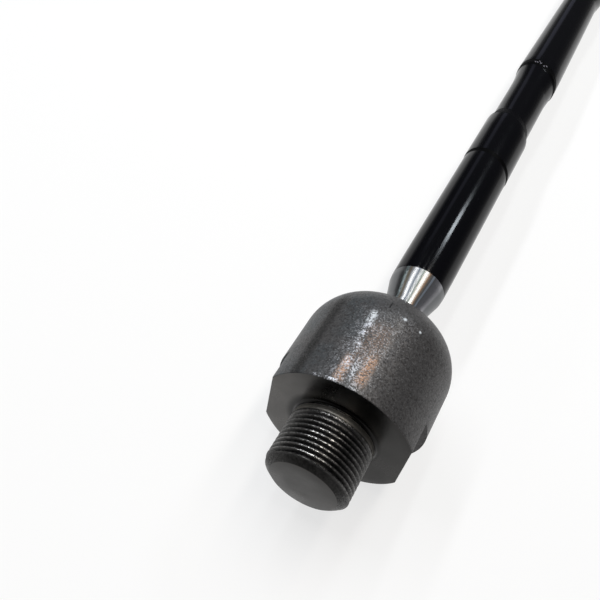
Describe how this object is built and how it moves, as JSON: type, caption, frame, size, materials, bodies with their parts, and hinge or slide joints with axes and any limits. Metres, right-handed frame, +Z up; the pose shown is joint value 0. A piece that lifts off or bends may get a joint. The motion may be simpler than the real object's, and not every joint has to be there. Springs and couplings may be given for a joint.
{
  "type": "inner tie rod",
  "caption": "Inner tie rod: a threaded rack stud with a forged socket that holds a ball-ended rod, tapering to an adjusting thread.",
  "frame": {"origin": "centre of the socket's seat face, where the stud leaves it", "axes": "+X along the rod, away from the stud; +Z up, with the wrench flats facing +Y and -Y"},
  "size_m": [0.3681, 0.0442, 0.0442],
  "materials": {
    "forged_steel": "satin, fine grain",
    "spring_steel": "satin",
    "seat_resin": "matt",
    "black_paint": "gloss"
  },
  "bodies": {
    "socket": {"socket_housing": "forged_steel", "preload_spring": "spring_steel"},
    "bearing": {"rear_ball_seat": "seat_resin", "front_ball_seat": "seat_resin"},
    "rod": {"ball_rod": "black_paint"}
  },
  "joints": [
    {"name": "bearing_turn", "type": "hinge", "parent": "socket", "child": "bearing", "pos_m": [0.02715, 0, 0], "axis": [1, 0, 0], "continuous": true},
    {"name": "rod_swing", "type": "hinge", "parent": "bearing", "child": "rod", "pos_m": [0.02715, 0, 0], "axis": [0, 0, 1], "range_deg": [-22, 22]}
  ]
}
